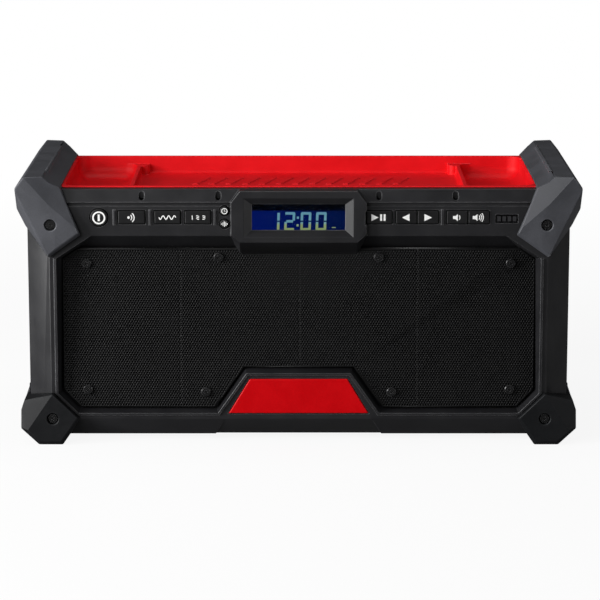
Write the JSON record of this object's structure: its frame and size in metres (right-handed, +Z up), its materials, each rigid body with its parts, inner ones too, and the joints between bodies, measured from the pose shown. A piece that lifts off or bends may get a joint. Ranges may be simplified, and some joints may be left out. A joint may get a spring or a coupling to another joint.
{
  "type": "jobsite radio",
  "caption": "Wide cordless jobsite radio with corner guards, carrying grips, a top tray, a control panel with display, a perforated speaker grille and a rear battery bay.",
  "frame": {"origin": "middle of the footprint, on the surface that the two runners stand on", "axes": "+X to the right seen from the front, +Y from the front to the back, +Z up"},
  "size_m": [0.403, 0.19, 0.1955],
  "materials": {
    "housing": "fine-textured black moulding",
    "guard": "textured dark grey rubber",
    "tray": "satin red moulding",
    "grille": "perforated sheet, black powder coat",
    "badge": "bare red plate with a satin face",
    "lens": "clear window",
    "display": "blue liquid crystal display",
    "keys": "black keys with white printed signs",
    "screws": "black oxide steel",
    "steel": "bright steel",
    "board": "green circuit board",
    "switches": "black moulding",
    "basket": "black pressed steel",
    "magnet": "ferrite",
    "cone": "black pressed cone",
    "surround": "soft black rubber",
    "coil": "copper winding",
    "ring": "bright ring",
    "pack": "black moulding",
    "pack_buttons": "red moulding",
    "contacts": "tinned brass",
    "rod": "rubber-covered spring rod",
    "flap": "soft black rubber",
    "seal": "foam rubber cord",
    "cooler": "extruded aluminium"
  },
  "bodies": {
    "radio": {"antenna_pin": "steel", "aux_socket": "switches", "back_cover": "housing", "badge": "badge", "board_screws": "screws", "case_gaskets": "seal", "case_screws": "screws", "control_board": "board", "display_lens": "lens", "display_panel": "display", "flap_pin": "steel", "front_housing": "housing", "gauge_lens": "keys", "grille_screws": "screws", "grip_bars": "steel", "grip_guard_left": "guard", "grip_guard_right": "guard", "guard_screws": "screws", "heat_sink": "cooler", "key_switches": "switches", "main_board": "board", "main_housing": "housing", "skid_guard_left": "guard", "skid_guard_right": "guard", "speaker_grille": "grille", "terminal_blades": "contacts", "terminal_block": "switches", "tray": "tray", "tray_screws": "screws", "tweeter_rings": "ring", "tweeters": "cone", "usb_socket": "steel", "voice_coils": "coil", "woofer_baskets": "basket", "woofer_cones": "cone", "woofer_magnets": "magnet", "woofer_screws": "screws", "woofer_surrounds": "surround"},
    "power_key": {"power_key": "keys"},
    "source_key": {"source_key": "keys"},
    "band_key": {"band_key": "keys"},
    "preset_key": {"preset_key": "keys"},
    "play_key": {"play_key": "keys"},
    "previous_key": {"previous_key": "keys"},
    "next_key": {"next_key": "keys"},
    "volume_down_key": {"volume_down_key": "keys"},
    "volume_up_key": {"volume_up_key": "keys"},
    "clock_key": {"clock_key": "keys"},
    "tone_key": {"tone_key": "keys"},
    "battery_pack": {"battery_pack": "pack"},
    "pack_button_upper": {"pack_button_upper": "pack_buttons"},
    "pack_button_lower": {"pack_button_lower": "pack_buttons"},
    "antenna": {"antenna": "rod"},
    "socket_flap": {"socket_flap": "flap"}
  },
  "joints": [
    {"name": "power_key_press", "type": "slide", "parent": "radio", "child": "power_key", "axis": [0, 1, 0], "range_m": [0, 0.0008], "stiffness_N_per_m": 900},
    {"name": "source_key_press", "type": "slide", "parent": "radio", "child": "source_key", "axis": [0, 1, 0], "range_m": [0, 0.0008], "stiffness_N_per_m": 900},
    {"name": "band_key_press", "type": "slide", "parent": "radio", "child": "band_key", "axis": [0, 1, 0], "range_m": [0, 0.0008], "stiffness_N_per_m": 900},
    {"name": "preset_key_press", "type": "slide", "parent": "radio", "child": "preset_key", "axis": [0, 1, 0], "range_m": [0, 0.0008], "stiffness_N_per_m": 900},
    {"name": "play_key_press", "type": "slide", "parent": "radio", "child": "play_key", "axis": [0, 1, 0], "range_m": [0, 0.0008], "stiffness_N_per_m": 900},
    {"name": "previous_key_press", "type": "slide", "parent": "radio", "child": "previous_key", "axis": [0, 1, 0], "range_m": [0, 0.0008], "stiffness_N_per_m": 900},
    {"name": "next_key_press", "type": "slide", "parent": "radio", "child": "next_key", "axis": [0, 1, 0], "range_m": [0, 0.0008], "stiffness_N_per_m": 900},
    {"name": "volume_down_key_press", "type": "slide", "parent": "radio", "child": "volume_down_key", "axis": [0, 1, 0], "range_m": [0, 0.0008], "stiffness_N_per_m": 900},
    {"name": "volume_up_key_press", "type": "slide", "parent": "radio", "child": "volume_up_key", "axis": [0, 1, 0], "range_m": [0, 0.0008], "stiffness_N_per_m": 900},
    {"name": "clock_key_press", "type": "slide", "parent": "radio", "child": "clock_key", "axis": [0, 1, 0], "range_m": [0, 0.0008], "stiffness_N_per_m": 900},
    {"name": "tone_key_press", "type": "slide", "parent": "radio", "child": "tone_key", "axis": [0, 1, 0], "range_m": [0, 0.0008], "stiffness_N_per_m": 900},
    {"name": "battery_pack_slide", "type": "slide", "parent": "radio", "child": "battery_pack", "axis": [1, 0, 0], "range_m": [0, 0.04]},
    {"name": "pack_button_upper_press", "type": "slide", "parent": "battery_pack", "child": "pack_button_upper", "axis": [0, 0, -1], "range_m": [0, 0.0015], "stiffness_N_per_m": 900},
    {"name": "pack_button_lower_press", "type": "slide", "parent": "battery_pack", "child": "pack_button_lower", "axis": [0, 0, 1], "range_m": [0, 0.0015], "stiffness_N_per_m": 900},
    {"name": "antenna_swing", "type": "hinge", "parent": "radio", "child": "antenna", "pos_m": [-0.138, 0.09, 0.157], "axis": [0, -1, 0], "range_deg": [0, 90]},
    {"name": "socket_flap_swing", "type": "hinge", "parent": "radio", "child": "socket_flap", "pos_m": [0.138, 0.0844, 0.0954], "axis": [1, 0, 0], "range_deg": [0, 90]}
  ]
}
